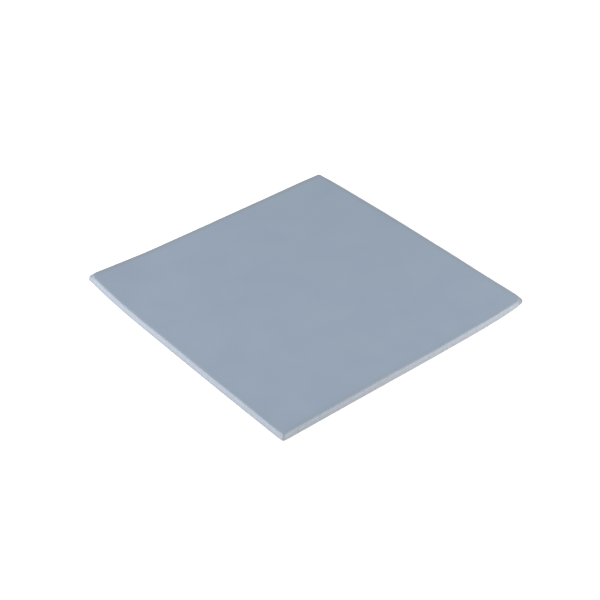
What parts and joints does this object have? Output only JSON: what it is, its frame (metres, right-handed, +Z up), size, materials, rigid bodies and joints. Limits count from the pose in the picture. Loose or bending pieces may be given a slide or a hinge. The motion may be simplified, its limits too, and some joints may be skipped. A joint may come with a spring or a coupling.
{
  "type": "thermal pad sheet",
  "caption": "Square sheet of soft grey-blue silicone gap filler, laid between a hot component and its heatsink to carry heat across the gap.",
  "frame": {"origin": "centre of the flat underside, on the surface that the sheet lies on", "axes": "+Z up through the thickness; the four cut sides run along X and Y; the two curled corners are at -X -Y and +X +Y"},
  "size_m": [0.1, 0.1, 0.0041],
  "materials": {
    "filled_silicone": "matte, slightly tacky silicone filled with ceramic powder; the knife-cut side faces are paler and rougher"
  },
  "bodies": {
    "root": {"pad_sheet": "filled_silicone"}
  },
  "joints": []
}
